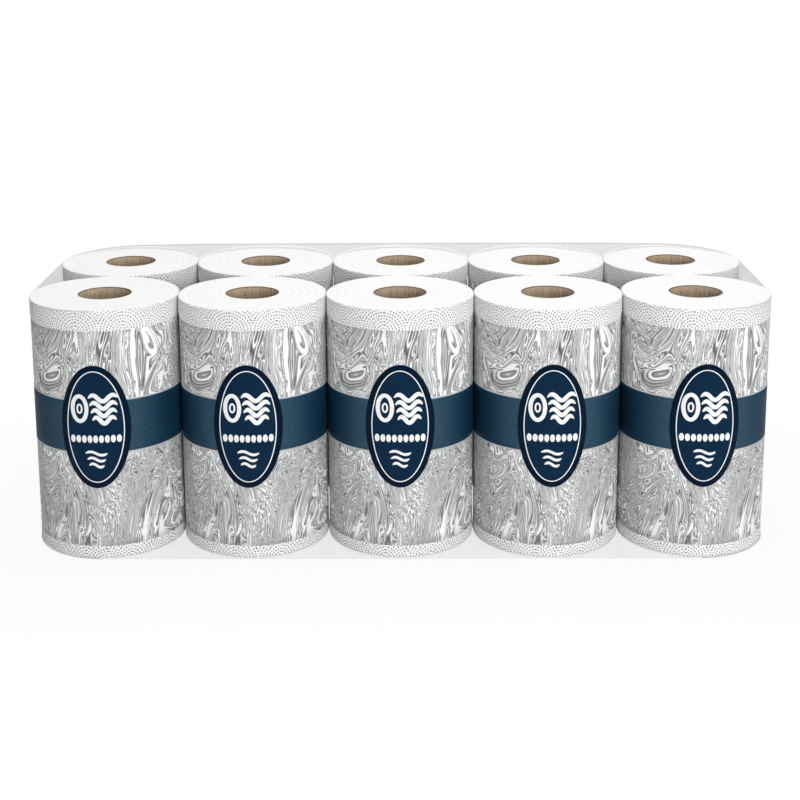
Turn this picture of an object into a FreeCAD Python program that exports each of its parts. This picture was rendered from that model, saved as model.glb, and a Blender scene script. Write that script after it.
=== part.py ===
import FreeCAD, Part
import os
import Sketcher

# A pack of toilet paper rolls that stand on end in two rows inside one clear film.
# Sizes are in millimetres and +Z is up. The origin is the middle of the film's flat base.
# Each roll is a cardboard core, the wound paper, a marbled printed sleeve round its side,
# and a dark belt with an upright oval medallion that faces the front, towards -Y.

COLUMNS = 5
ROWS = 2
TURN_RINGS = 5

SIZES = (
    ("roll_diameter", 110.0, "outside of the wound paper"),
    ("roll_height", 189.5, "length of the wound paper and of its core"),
    ("core_diameter", 40.0, "outside of the cardboard core"),
    ("core_wall", 0.8, "thickness of the cardboard"),
    ("turn_width", 1.2, "width of a groove between two turns on a roll's end"),
    ("turn_depth", 0.6, "depth of such a groove"),
    ("upper_bevel", 0.8, "bevel of the paper's upper rim"),
    ("lower_bevel", 2.2, "bevel of the paper's lower rim, which is pressed by the weight"),
    ("wrap_gap", 0.1, "space between two layers of a roll"),
    ("sleeve_wall", 0.1, "thickness of the printed sleeve"),
    ("sleeve_bottom", 10.0, "bare paper below the sleeve"),
    ("sleeve_height", 164.0, "length of the sleeve along the roll"),
    ("label_wall", 0.1, "thickness of the belt and its medallion"),
    ("label_middle", 102.2, "height of the belt's middle above the roll's end"),
    ("belt_height", 41.0, "height of the belt"),
    ("medallion_width", 50.5, "width of the oval, straight across"),
    ("medallion_height", 93.5, "height of the oval"),
    ("roll_gap", 0.2, "space between the belts of two rolls side by side"),
    ("film_gap", 0.3, "space between the rolls and the film"),
    ("film_wall", 0.2, "thickness of the film"),
    ("film_bevel", 1.2, "outside bevel of the film's upper and lower edges"),
)

doc = FreeCAD.newDocument("toilet_paper_roll_pack")
sheet = doc.addObject("Spreadsheet::Sheet", "sizes")
for row_number, (alias, value, meaning) in enumerate(SIZES, start=1):
    sheet.set(f"A{row_number}", meaning)
    sheet.set(f"B{row_number}", str(value))
    sheet.setAlias(f"B{row_number}", alias)
doc.recompute()

# The sizes that follow from those of the sheet, from the middle of a roll outwards.
CORE_OUTER = "(sizes.core_diameter / 2)"
CORE_INNER = f"({CORE_OUTER} - sizes.core_wall)"
PAPER_INNER = f"({CORE_OUTER} + sizes.wrap_gap)"
PAPER_OUTER = "(sizes.roll_diameter / 2)"
SLEEVE_INNER = f"({PAPER_OUTER} + sizes.wrap_gap)"
SLEEVE_OUTER = f"({SLEEVE_INNER} + sizes.sleeve_wall)"
LABEL_INNER = f"({SLEEVE_OUTER} + sizes.wrap_gap)"
LABEL_OUTER = f"({LABEL_INNER} + sizes.label_wall)"
PITCH = f"(2 * {LABEL_OUTER} + sizes.roll_gap)"
ROLL_BASE = "(sizes.film_wall + sizes.film_gap)"
FILM_CORNER = f"({LABEL_OUTER} + sizes.film_gap)"

Z_AXIS = FreeCAD.Vector(0, 0, 1)
FORWARDS = FreeCAD.Vector(0, -1, 0)
# Turns the X axis to Z and the Y axis to X, so that an ellipse drawn flat stands up.
STAND_UP = FreeCAD.Rotation(FreeCAD.Vector(1, 1, 1), 240)


def place(thing, x="0", y="0", z="0"):
    """Binds where a thing stands to the sheet."""
    thing.setExpression(".Placement.Base.x", x)
    thing.setExpression(".Placement.Base.y", y)
    thing.setExpression(".Placement.Base.z", z)


def new_sketch(body, plane, name):
    """An empty sketch on one of the body's own origin planes."""
    sketch = body.newObject("Sketcher::SketchObject", name)
    support = next(f for f in body.Origin.OriginFeatures if f.Role == plane)
    sketch.AttachmentSupport = (support, [""])
    sketch.MapMode = "FlatFace"
    return sketch


def bind(sketch, kind, references, expression):
    """Adds a dimension to the sketch and ties it to the sheet."""
    start = float(sketch.evalExpression(expression))
    number = sketch.addConstraint(Sketcher.Constraint(kind, *references, start))
    sketch.setExpression(f"Constraints[{number}]", expression)


def add_circle(sketch, radius):
    """A circle round the sketch's origin."""
    start = float(sketch.evalExpression(radius))
    circle = sketch.addGeometry(Part.Circle(FreeCAD.Vector(), Z_AXIS, start), False)
    sketch.addConstraint(Sketcher.Constraint("Coincident", circle, 3, -1, 1))
    bind(sketch, "Radius", (circle,), radius)


def add_outline(sketch, corners):
    """A closed outline whose corners are pairs of expressions, each measured from the origin."""
    points = []
    for across, up in corners:
        x = float(sketch.evalExpression(across))
        y = float(sketch.evalExpression(up))
        points.append(FreeCAD.Vector(x, y, 0))
    count = len(points)
    lines = []
    for k in range(count):
        side = Part.LineSegment(points[k], points[(k + 1) % count])
        lines.append(sketch.addGeometry(side, False))
    for k in range(count):
        joined = Sketcher.Constraint("Coincident", lines[k - 1], 2, lines[k], 1)
        sketch.addConstraint(joined)
    for k, (across, up) in enumerate(corners):
        bind(sketch, "DistanceX", (-1, 1, lines[k], 1), across)
        if points[k].y == 0:
            sketch.addConstraint(Sketcher.Constraint("PointOnObject", lines[k], 1, -1))
        else:
            bind(sketch, "DistanceY", (-1, 1, lines[k], 1), up)


def add_tube(name, outer, inner, height):
    """A straight round tube that stands on its own XY plane."""
    body = doc.addObject("PartDesign::Body", name)
    section = new_sketch(body, "XY_Plane", f"{name}_section")
    add_circle(section, outer)
    add_circle(section, inner)
    wall = body.newObject("PartDesign::Pad", f"{name}_wall")
    wall.Profile = section
    wall.setExpression("Length", height)
    return body


def dress_edges(body, kind, name, base, edges, expression):
    """A PartDesign::Fillet or PartDesign::Chamfer on the named edges of the base feature."""
    dressed = body.newObject(kind, name)
    dressed.Base = (base, edges)
    is_fillet = kind == "PartDesign::Fillet"
    dressed.setExpression("Radius" if is_fillet else "Size", expression)
    doc.recompute()
    return dressed


def edges_where(feature, is_wanted):
    """The names of the feature's edges that pass the test."""
    found = enumerate(feature.Shape.Edges, start=1)
    return [f"Edge{number}" for number, edge in found if is_wanted(edge)]


def lies_at_height(edge, height):
    """Whether every corner of the edge is at one height."""
    return all(abs(corner.Z - height) < 1e-6 for corner in edge.Vertexes)


def add_roll_paper(name):
    """The wound paper, turned round the Z axis. Shallow rings on both ends stand for its turns."""
    body = doc.addObject("PartDesign::Body", name)
    section = new_sketch(body, "XZ_Plane", f"{name}_section")
    lower_end = [(PAPER_INNER, "0")]
    upper_end = [(PAPER_INNER, "sizes.roll_height")]
    for ring in range(1, TURN_RINGS + 1):
        share = f"{ring} / {TURN_RINGS + 1}"
        middle = f"({PAPER_INNER} + ({PAPER_OUTER} - {PAPER_INNER}) * {share})"
        near_side = f"{middle} - sizes.turn_width / 2"
        far_side = f"{middle} + sizes.turn_width / 2"
        lower_end += [(near_side, "0"), (middle, "sizes.turn_depth"), (far_side, "0")]
        floor = "sizes.roll_height - sizes.turn_depth"
        upper_end += [(near_side, "sizes.roll_height"), (middle, floor)]
        upper_end += [(far_side, "sizes.roll_height")]
    lower_end.append((PAPER_OUTER, "0"))
    upper_end.append((PAPER_OUTER, "sizes.roll_height"))
    add_outline(section, lower_end + upper_end[::-1])
    turned = body.newObject("PartDesign::Revolution", f"{name}_turned")
    turned.Profile = section
    turned.ReferenceAxis = (section, ["V_Axis"])
    turned.Angle = 360
    doc.recompute()

    widest = sheet.roll_diameter / 2

    def is_rim(edge, height):
        is_round = isinstance(edge.Curve, Part.Circle)
        return is_round and lies_at_height(edge, height) and abs(edge.Curve.Radius - widest) < 1e-6

    bevel = "PartDesign::Chamfer"
    upper_rim = edges_where(turned, lambda edge: is_rim(edge, sheet.roll_height))
    upper = dress_edges(body, bevel, f"{name}_upper", turned, upper_rim, "sizes.upper_bevel")
    lower_rim = edges_where(upper, lambda edge: is_rim(edge, 0))
    dress_edges(body, bevel, f"{name}_lower", upper, lower_rim, "sizes.lower_bevel")
    return body


def add_cylinder(name, radius, height, bottom):
    """A plain cylinder round the Z axis."""
    cylinder = doc.addObject("Part::Cylinder", name)
    cylinder.setExpression("Radius", radius)
    cylinder.setExpression("Height", height)
    place(cylinder, z=bottom)
    return cylinder


def join(kind, name, base, tool):
    """A Part::Cut, Part::Fuse or Part::Common of two objects."""
    result = doc.addObject(kind, name)
    result.Base = base
    result.Tool = tool
    return result


def add_label(name):
    """A belt all the way round the sleeve, in one piece with an upright oval at its front."""
    belt_bottom = "sizes.label_middle - sizes.belt_height / 2"
    belt = add_cylinder(f"{name}_belt", LABEL_OUTER, "sizes.belt_height", belt_bottom)

    oval_bottom = "sizes.label_middle - sizes.medallion_height / 2"
    oval_height = "sizes.medallion_height"
    oval_stock = add_cylinder(f"{name}_oval_stock", LABEL_OUTER, oval_height, oval_bottom)
    outline = doc.addObject("Part::Ellipse", f"{name}_oval_outline")
    outline.setExpression("MajorRadius", "sizes.medallion_height / 2")
    outline.setExpression("MinorRadius", "sizes.medallion_width / 2")
    outline.Placement.Rotation = STAND_UP
    place(outline, z="sizes.label_middle")
    prism = doc.addObject("Part::Extrusion", f"{name}_oval_prism")
    prism.Base = outline
    prism.DirMode = "Custom"
    prism.Dir = FORWARDS
    prism.setExpression("LengthFwd", "sizes.roll_diameter")
    prism.Solid = True
    oval = join("Part::Common", f"{name}_oval", oval_stock, prism)

    solid = join("Part::Fuse", f"{name}_solid", belt, oval)
    bore = add_cylinder(f"{name}_bore", LABEL_INNER, oval_height, oval_bottom)
    return join("Part::Cut", name, solid, bore)


def add_film_block(name, inset, bottom):
    """A block with round corners, as large as the film's outside less an inset on every side."""
    body = doc.addObject("PartDesign::Body", name)
    half_length = f"({(COLUMNS - 1) / 2} * {PITCH} + {FILM_CORNER} + sizes.film_wall - {inset})"
    half_depth = f"({(ROWS - 1) / 2} * {PITCH} + {FILM_CORNER} + sizes.film_wall - {inset})"
    height = f"sizes.roll_height + 2 * ({ROLL_BASE} - {inset})"
    plan = new_sketch(body, "XY_Plane", f"{name}_plan")
    left, right = f"-{half_length}", half_length
    front, back = f"-{half_depth}", half_depth
    add_outline(plan, [(left, front), (right, front), (right, back), (left, back)])
    block = body.newObject("PartDesign::Pad", f"{name}_block")
    block.Profile = plan
    block.setExpression("Length", height)
    doc.recompute()

    def is_upright(edge):
        low, high = sorted(corner.Z for corner in edge.Vertexes)
        return high - low > 1e-6

    corner_radius = f"{FILM_CORNER} + sizes.film_wall - {inset}"
    fillet = "PartDesign::Fillet"
    corners = edges_where(block, is_upright)
    rounded = dress_edges(body, fillet, f"{name}_corners", block, corners, corner_radius)
    rims = edges_where(rounded, lambda edge: not is_upright(edge))
    bevel = f"sizes.film_bevel - {inset}"
    dress_edges(body, "PartDesign::Chamfer", f"{name}_rims", rounded, rims, bevel)
    place(body, z=bottom)
    return body


nodes = []
for row in range(ROWS):
    for column in range(COLUMNS):
        number = f"{row * COLUMNS + column + 1:02d}"
        x = f"{column - (COLUMNS - 1) / 2} * {PITCH}"
        y = f"{row - (ROWS - 1) / 2} * {PITCH}"

        core = add_tube(f"core_tube_{number}", CORE_OUTER, CORE_INNER, "sizes.roll_height")
        place(core, x, y, ROLL_BASE)

        paper = add_roll_paper(f"tissue_roll_{number}")
        place(paper, x, y, ROLL_BASE)

        sleeve_name = f"printed_sleeve_{number}"
        sleeve = add_tube(sleeve_name, SLEEVE_OUTER, SLEEVE_INNER, "sizes.sleeve_height")
        place(sleeve, x, y, f"{ROLL_BASE} + sizes.sleeve_bottom")

        label = add_label(f"belt_label_{number}")
        place(label, x, y, ROLL_BASE)

        nodes += [core, paper, sleeve, label]

film_outside = add_film_block("film_outside", "0", "0")
film_inside = add_film_block("film_inside", "sizes.film_wall", "sizes.film_wall")
nodes.append(join("Part::Cut", "clear_film", film_outside, film_inside))

doc.recompute()
for thing in doc.Objects:
    if "Invalid" in thing.State or "Error" in thing.State:
        raise RuntimeError(f"{thing.Label} could not be built: {thing.State}")
for node in nodes:
    if node.Shape.isNull() or not node.Shape.isValid():
        raise RuntimeError(f"{node.Label} has no valid shape")
    if len(node.Shape.Solids) != 1:
        raise RuntimeError(f"{node.Label} is {len(node.Shape.Solids)} solids, not one")

os.makedirs("parts", exist_ok=True)
for node in nodes:
    node.Shape.exportStep(f"parts/{node.Label}.step")
    box = node.Shape.optimalBoundingBox()
    print(f"{node.Label}: {box.XLength:.2f} x {box.YLength:.2f} x {box.ZLength:.2f} mm")
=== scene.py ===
# %% [markdown]
# A pack of toilet paper rolls: two rows of tall white rolls stand on end in one clear film.
# Each roll has a marbled grey sleeve with a dark blue belt and an upright oval medallion.
# The solids come from the packed frame. This lesson dresses them: wound paper, cardboard,
# print and film, each as a surface worked out from a formula, with a finish made of nodes.

# %% Load the frame
import math

import bpy
import numpy as np
from mathutils import Matrix, Vector


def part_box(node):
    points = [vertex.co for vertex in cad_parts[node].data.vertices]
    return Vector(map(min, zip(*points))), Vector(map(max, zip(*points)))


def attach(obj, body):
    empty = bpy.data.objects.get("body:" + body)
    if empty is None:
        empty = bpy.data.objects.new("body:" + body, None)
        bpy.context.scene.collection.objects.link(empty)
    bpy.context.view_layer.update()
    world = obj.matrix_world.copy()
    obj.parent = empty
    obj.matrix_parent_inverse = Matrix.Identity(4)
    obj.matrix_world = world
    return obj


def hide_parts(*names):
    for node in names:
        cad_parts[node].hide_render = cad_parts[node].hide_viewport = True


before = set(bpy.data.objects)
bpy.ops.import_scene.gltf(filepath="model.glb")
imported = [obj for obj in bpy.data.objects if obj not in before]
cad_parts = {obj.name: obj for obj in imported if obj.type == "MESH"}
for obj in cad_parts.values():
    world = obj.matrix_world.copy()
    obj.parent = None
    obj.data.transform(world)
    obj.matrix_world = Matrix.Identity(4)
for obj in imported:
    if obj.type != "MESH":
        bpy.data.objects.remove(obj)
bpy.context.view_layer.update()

# %% [markdown]
# The sizes could be typed in, but then a change to the solids would leave them wrong. So they
# are read from the frame, and the dressing fits whatever the solids measure. A roll's own
# axis is the middle of its box, and all ten rolls share one set of radii.

# %% Read the rolls' sizes and places
MM = 0.001
ROLL_NUMBERS = [name[-2:] for name in sorted(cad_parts) if name.startswith("tissue_roll_")]


def middle_of(node):
    """The middle of a node's box: half the sum of its two corners."""
    low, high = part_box(node)
    return (low + high) / 2


def half_width(node):
    """Half of a node's width along X, which is its radius where it is round."""
    low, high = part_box(node)
    return (high.x - low.x) / 2


AXES = {number: middle_of(f"tissue_roll_{number}") for number in ROLL_NUMBERS}
PITCH = AXES["02"].x - AXES["01"].x
paper_low, paper_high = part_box("tissue_roll_01")
BASE, TOP = paper_low.z, paper_high.z
HEIGHT = TOP - BASE
PAPER_RADIUS = half_width("tissue_roll_01")
CORE_RADIUS = half_width("core_tube_01")
SLEEVE_RADIUS = half_width("printed_sleeve_01")
LABEL_RADIUS = half_width("belt_label_01")
sleeve_low, sleeve_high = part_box("printed_sleeve_01")
label_low, label_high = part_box("belt_label_01")
film_low, film_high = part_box("clear_film")
print("rolls:", len(ROLL_NUMBERS), "pitch:", round(PITCH, 4), "radius:", round(PAPER_RADIUS, 4))

# %% [markdown]
# Most pieces are round, and Blender could spin or lathe them. A grid of points from a formula
# gives more: every point can be shifted by numpy at once, and the grid's own two parameters
# make the UV map. Rows and columns may each close on themselves, so a tube or a turned roll
# is one grid with no poles. The signed volume of a closed grid tells whether it faces out.

# %% Faces of a grid, and the volume that they enclose


def grid_faces(rows, columns, close_rows, close_columns):
    """Corner numbers of every quad, as row and column indices before they wrap."""
    row_steps = rows if close_rows else rows - 1
    column_steps = columns if close_columns else columns - 1
    row, column = np.meshgrid(np.arange(row_steps), np.arange(column_steps), indexing="ij")
    corner_rows = np.stack([row, row, row + 1, row + 1], -1).reshape(-1, 4)
    corner_columns = np.stack([column, column + 1, column + 1, column], -1).reshape(-1, 4)
    return corner_rows, corner_columns


def signed_volume(points, faces):
    """Volume inside the quads: the sum of the tetrahedra from the origin to each triangle."""
    a, b, c, d = (points[faces[:, k]] for k in range(4))
    first = np.einsum("ij,ij->i", a, np.cross(b, c))
    second = np.einsum("ij,ij->i", a, np.cross(c, d))
    return (first.sum() + second.sum()) / 6


print("a tube of 3 by 4 points has", len(grid_faces(3, 4, False, True)[0]), "quads")

# %% [markdown]
# Every piece becomes an object in the same way. Its points are already where the solids are,
# so the object itself stays at the origin, and it rides on the pack's one body. A UV map has
# one value for each corner of a face and not for each point, so a closed tube can be cut
# open in its map: the last column of corners gets the full turn, where the first has zero.

# %% From points to a piece of the pack


def mesh_object(name, points, faces, maps=None):
    """A smooth mesh object that rides on the pack. maps gives each UV map a value per corner."""
    mesh = bpy.data.meshes.new(name)
    mesh.from_pydata(points.tolist(), [], faces.tolist())
    for map_name, values in (maps or {}).items():
        layer = mesh.uv_layers.new(name=map_name)
        layer.data.foreach_set("uv", values.astype(np.float32).ravel())
    mesh.shade_smooth()
    mesh.update()
    thing = bpy.data.objects.new(name, mesh)
    bpy.context.scene.collection.objects.link(thing)
    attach(thing, "root")
    return thing


def surface(name, points, close_rows=True, close_columns=True, maps=None):
    """A piece from a grid of points. Each map is a grid with one more row and column."""
    rows, columns = points.shape[:2]
    corner_rows, corner_columns = grid_faces(rows, columns, close_rows, close_columns)
    faces = (corner_rows % rows) * columns + corner_columns % columns
    flat = points.reshape(-1, 3)
    if signed_volume(flat - flat.mean(0), faces) < 0:
        faces = faces[:, ::-1]
        corner_rows = corner_rows[:, ::-1]
        corner_columns = corner_columns[:, ::-1]
    corners = {key: grid[corner_rows, corner_columns] for key, grid in (maps or {}).items()}
    return mesh_object(name, flat, faces, corners)


def round_axis(axis, angle, radius, height):
    """Points at an angle and radius round a roll's axis. Angle 0 faces the front, towards -Y."""
    x = axis.x + radius * np.sin(angle)
    y = axis.y - radius * np.cos(angle)
    return np.stack(np.broadcast_arrays(x, y, height), -1)


print("front of roll 01:", round_axis(AXES["01"], 0.0, PAPER_RADIUS, TOP).round(4))

# %% [markdown]
# A finish is a sum of noises, distances and thresholds. Written node by node it would be
# hundreds of lines, so each method below adds one node and hands back its output, and a
# pattern can be written the way its formula is. A value may be a number or a node's output.

# %% Helpers for nodes


class Nodes:
    """Adds nodes to one tree. Each method returns the output socket of what it added."""

    def __init__(self, tree):
        self.tree = tree

    def add(self, kind, **settings):
        node = self.tree.nodes.new(kind)
        for key, value in settings.items():
            setattr(node, key, value)
        return node

    def feed(self, socket, value):
        """Links an output to the socket, or sets the socket's own number."""
        if isinstance(value, bpy.types.NodeSocket):
            self.tree.links.new(value, socket)
        elif value is not None:
            socket.default_value = value

    def math(self, operation, *values, clamp=False):
        node = self.add("ShaderNodeMath", operation=operation, use_clamp=clamp)
        for socket, value in zip(node.inputs, values):
            self.feed(socket, value)
        return node.outputs[0]

    def times(self, first, *others):
        """The product of all the values."""
        for value in others:
            first = self.math("MULTIPLY", first, value)
        return first

    def highest(self, first, *others):
        """The highest of all the values."""
        for value in others:
            first = self.math("MAXIMUM", first, value)
        return first

    def vector(self, operation, *values):
        node = self.add("ShaderNodeVectorMath", operation=operation)
        sockets = [s for s in node.inputs if s.enabled]
        for socket, value in zip(sockets, values):
            self.feed(socket, value)
        return node.outputs["Value"] if operation == "LENGTH" else node.outputs["Vector"]

    def scaled(self, vector, factor):
        """A vector times a number."""
        result = self.vector("SCALE", vector)
        self.feed(result.node.inputs["Scale"], factor)
        return result

    def split(self, vector):
        node = self.add("ShaderNodeSeparateXYZ")
        self.feed(node.inputs[0], vector)
        return node.outputs

    def join(self, x, y, z=0.0):
        node = self.add("ShaderNodeCombineXYZ")
        for socket, value in zip(node.inputs, (x, y, z)):
            self.feed(socket, value)
        return node.outputs[0]

    def noise(self, vector, scale, detail=2.0, roughness=0.5, color=False):
        node = self.add("ShaderNodeTexNoise")
        self.feed(node.inputs["Vector"], vector)
        self.feed(node.inputs["Scale"], scale)
        self.feed(node.inputs["Detail"], detail)
        self.feed(node.inputs["Roughness"], roughness)
        return node.outputs["Color" if color else "Fac"]

    def smooth(self, value, start, end):
        """0 before start, 1 after end, and smooth between. start may be above end."""
        node = self.add("ShaderNodeMapRange", interpolation_type="SMOOTHSTEP")
        low, high = (0.0, 1.0)
        if not isinstance(start, bpy.types.NodeSocket) and start > end:
            start, end, low, high = end, start, 1.0, 0.0
        for key, item in zip(("Value", "From Min", "From Max"), (value, start, end)):
            self.feed(node.inputs[key], item)
        node.inputs["To Min"].default_value = low
        node.inputs["To Max"].default_value = high
        return node.outputs[0]

    def mix(self, share, first, second):
        """The first colour where share is 0, the second where it is 1."""
        node = self.add("ShaderNodeMix", data_type="RGBA")
        sockets = [s for s in node.inputs if s.enabled]
        for socket, value in zip(sockets, (share, first, second)):
            self.feed(socket, value)
        return next(s for s in node.outputs if s.enabled)

    def place(self, group, **values):
        """Places a node group and sets its named inputs."""
        node = self.add("ShaderNodeGroup", node_tree=group)
        for key, value in values.items():
            self.feed(node.inputs[key.replace("_", " ")], value)
        return node.outputs

    def object_place(self):
        return self.add("ShaderNodeTexCoord").outputs["Object"]

    def uv_map(self, name):
        return self.add("ShaderNodeUVMap", uv_map=name).outputs[0]


print("node helpers:", len([name for name in vars(Nodes) if not name.startswith("_")]))

# %% [markdown]
# An effect that more than one material could use is a group: it is built once, has named
# inputs, and is placed with other values in each material. The shader itself stays in the
# material, and a number that is the same all over a surface is set on the shader's socket.

# %% New groups and materials


def new_group(name, inputs, outputs):
    """A shader node group with named sockets. Returns its Nodes, its inputs and its results."""
    tree = bpy.data.node_groups.new(name, "ShaderNodeTree")
    kinds = {"float": "NodeSocketFloat", "vector": "NodeSocketVector", "color": "NodeSocketColor"}
    for label, kind, value in inputs:
        socket = tree.interface.new_socket(label, in_out="INPUT", socket_type=kinds[kind])
        if value is not None:
            socket.default_value = value
    for label, kind in outputs:
        tree.interface.new_socket(label, in_out="OUTPUT", socket_type=kinds[kind])
    nodes = Nodes(tree)
    given = nodes.add("NodeGroupInput").outputs
    results = nodes.add("NodeGroupOutput").inputs
    return nodes, given, results


def new_material(name, roughness, **plain):
    """A material with a Principled BSDF. Returns the material, its Nodes and the shader."""
    material = bpy.data.materials.new(name)
    material.use_nodes = True
    nodes = Nodes(material.node_tree)
    shader = material.node_tree.nodes["Principled BSDF"]
    shader.inputs["Roughness"].default_value = roughness
    for key, value in plain.items():
        shader.inputs[key.replace("_", " ")].default_value = value
    return material, nodes, shader


def add_bump(nodes, shader, height, distance, strength=1.0):
    """Feeds a height, in parts of distance, to the shader's normal."""
    bump = nodes.add("ShaderNodeBump")
    nodes.feed(bump.inputs["Height"], height)
    bump.inputs["Distance"].default_value = distance
    bump.inputs["Strength"].default_value = strength
    nodes.feed(shader.inputs["Normal"], bump.outputs[0])


def finish_with(things, material, nodes):
    """Gives every piece the material, and says how many nodes it took."""
    for thing in things:
        thing.data.materials.append(material)
    print(f"{material.name}: {len(nodes.tree.nodes)} nodes, on {len(things)} pieces")


# %% [markdown]
# Marbled paper is laid on inks that float on water and have been drawn out with a comb. It is
# worked out here as the contour lines of one smooth field. The place where the field is read
# is folded three times by noise, each time more finely, and the field is pulled long up the
# roll, as the comb pulls the inks. A slow noise says where the paper is busier.

# %% The marbling group: one folded field
nodes, given, results = new_group(
    "marbling",
    [
        ("Vector", "vector", None),
        ("Scale", "float", 62.0),
        ("Pull", "float", 0.5),
        ("Dark", "color", (0.075, 0.08, 0.08, 1)),
        ("Mid", "color", (0.335, 0.345, 0.345, 1)),
        ("Light", "color", (0.56, 0.57, 0.57, 1)),
        ("Vein", "color", (0.95, 0.95, 0.95, 1)),
    ],
    [("Color", "color")],
)
marbling = nodes.tree
SLICE = 9.9
CENTRE = (0.5, 0.5, 0.5)
BUSY_SCALE = 0.6
BUSY_RANGE = (0.38, 0.6)
FOLDS = ((0.35, 5.0), (0.9, 2.2), (2.6, 0.3))
FIELD_PULL = (4.0, 0.7, 1.0)
STREAK_PULL = (13.0, 3.2, 1.0)
u, v, _ = nodes.split(given["Vector"])
pulled = nodes.times(v, given["Pull"])
point = nodes.scaled(nodes.join(u, pulled, SLICE), given["Scale"])
busy = nodes.smooth(nodes.noise(point, BUSY_SCALE, detail=0.0), *BUSY_RANGE)
for fold_scale, fold_size in FOLDS:
    fold_noise = nodes.noise(point, fold_scale, detail=0.0, color=True)
    fold = nodes.vector("SUBTRACT", fold_noise, CENTRE)
    point = nodes.vector("ADD", point, nodes.scaled(fold, fold_size))
field = nodes.noise(nodes.vector("MULTIPLY", point, FIELD_PULL), 1.0, detail=1.0, roughness=0.4)
streaks = nodes.noise(nodes.vector("MULTIPLY", point, STREAK_PULL), 1.0, detail=2.0, roughness=0.6)
print("marbling: the field is folded", len(FOLDS), "times")

# %% [markdown]
# Now the field turns into ink. It rises and falls in bands, and the crest of each band stays
# unprinted: a white vein with a dark outline, wider where the paper is busy. Finer contours
# of the same field are threads that follow the veins, and streaks mix the greys between.

# %% The marbling group: from field to ink
BANDS = 9.0
THREADS = 33.0
VEIN_EDGE = 0.9
VEIN_OPENING = -0.27
VEIN_SOFTNESS = 0.08
OUTLINE_WIDTH = 0.25
OUTLINE_SHARE = 0.5
THREAD_SHARE = 0.8
DARK_THREAD = (0.34, 0.12)
LIGHT_THREAD = (0.74, 0.92)
STREAK_RANGE = (0.4, 0.6)
bands = nodes.math("PINGPONG", nodes.times(field, BANDS), 1.0)
threads = nodes.math("PINGPONG", nodes.times(field, THREADS), 1.0)
vein_edge = nodes.math("MULTIPLY_ADD", busy, VEIN_OPENING, VEIN_EDGE)
vein = nodes.smooth(bands, vein_edge, nodes.math("ADD", vein_edge, VEIN_SOFTNESS))
outline = nodes.smooth(bands, nodes.math("SUBTRACT", vein_edge, OUTLINE_WIDTH), vein_edge)
tone = nodes.mix(nodes.smooth(streaks, *STREAK_RANGE), given["Mid"], given["Light"])
tone = nodes.mix(nodes.times(outline, OUTLINE_SHARE), tone, given["Dark"])
dark_thread = nodes.times(nodes.smooth(threads, *DARK_THREAD), THREAD_SHARE)
tone = nodes.mix(dark_thread, tone, given["Dark"])
light_thread = nodes.times(nodes.smooth(threads, *LIGHT_THREAD), THREAD_SHARE)
tone = nodes.mix(light_thread, tone, given["Vein"])
nodes.feed(results["Color"], nodes.mix(vein, tone, given["Vein"]))
print("marbling group:", len(marbling.nodes), "nodes")

# %% [markdown]
# Everything printed here is thin paper pulled round a soft roll. It creases very finely, and
# its ink sinks in unevenly. Each print could have noises of its own, but one group serves
# the sleeve, the belt and the white mark, and each sets how fine its creases and specks are.

# %% The printed paper group
nodes, given, results = new_group(
    "printed paper",
    [("Vector", "vector", None), ("Crease", "float", 260.0), ("Speck", "float", 700.0)],
    [("Height", "float"), ("Ink", "float")],
)
printed_paper = nodes.tree
creases = nodes.noise(given["Vector"], given["Crease"], detail=3.0, roughness=0.55)
specks = nodes.noise(given["Vector"], given["Speck"], detail=2.0, roughness=0.6)
nodes.feed(results["Height"], creases)
nodes.feed(results["Ink"], specks)
print("printed paper group:", len(printed_paper.nodes), "nodes")

# %% [markdown]
# Tissue is embossed with small dots in fans of arcs. A roll has tens of thousands of dots, too
# many to model, so they are a pattern of the material. Each fan's arcs are circles round a
# point below it, and a dot is pressed wherever they cross the arcs of a second set of fans.
# Soft paper gives way unevenly, so a noise lets the dots stray and presses some less deep.

# %% The embossing group
nodes, given, results = new_group(
    "embossed fans",
    [
        ("Vector", "vector", None),
        ("Fan", "float", 34 * MM),
        ("Row", "float", 17.45 * MM),
        ("Arc", "float", 2.25 * MM),
        ("Bead", "float", 1.9 * MM),
        ("Stray", "float", 0.8 * MM),
    ],
    [("Hollow", "float")],
)
embossed_fans = nodes.tree
WANDER_SCALE = 260.0
PRESS_SCALE = 420.0
CROSSING_RANGE = (0.25, 1.4)
PRESS_GAIN = 1.7
PRESS_LEAST = 0.1
wander = nodes.noise(given["Vector"], WANDER_SCALE, detail=1.0, color=True)
stray = nodes.scaled(nodes.vector("SUBTRACT", wander, CENTRE), given["Stray"])
u, v, _ = nodes.split(nodes.vector("ADD", given["Vector"], stray))
half_fan = nodes.times(given["Fan"], 0.5)
left_half = nodes.times(given["Fan"], -0.5)
half_row = nodes.times(given["Row"], 0.5)


def fan_wave(across, up, spacing):
    """1 on each arc of a fan and -1 midway between: a cosine of the distance to its centre."""
    wrapped = nodes.math("WRAP", across, half_fan, left_half)
    above = nodes.math("FLOORED_MODULO", up, given["Row"])
    reach = nodes.vector("LENGTH", nodes.join(wrapped, above))
    return nodes.math("COSINE", nodes.times(nodes.math("DIVIDE", reach, spacing), math.tau))


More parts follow.
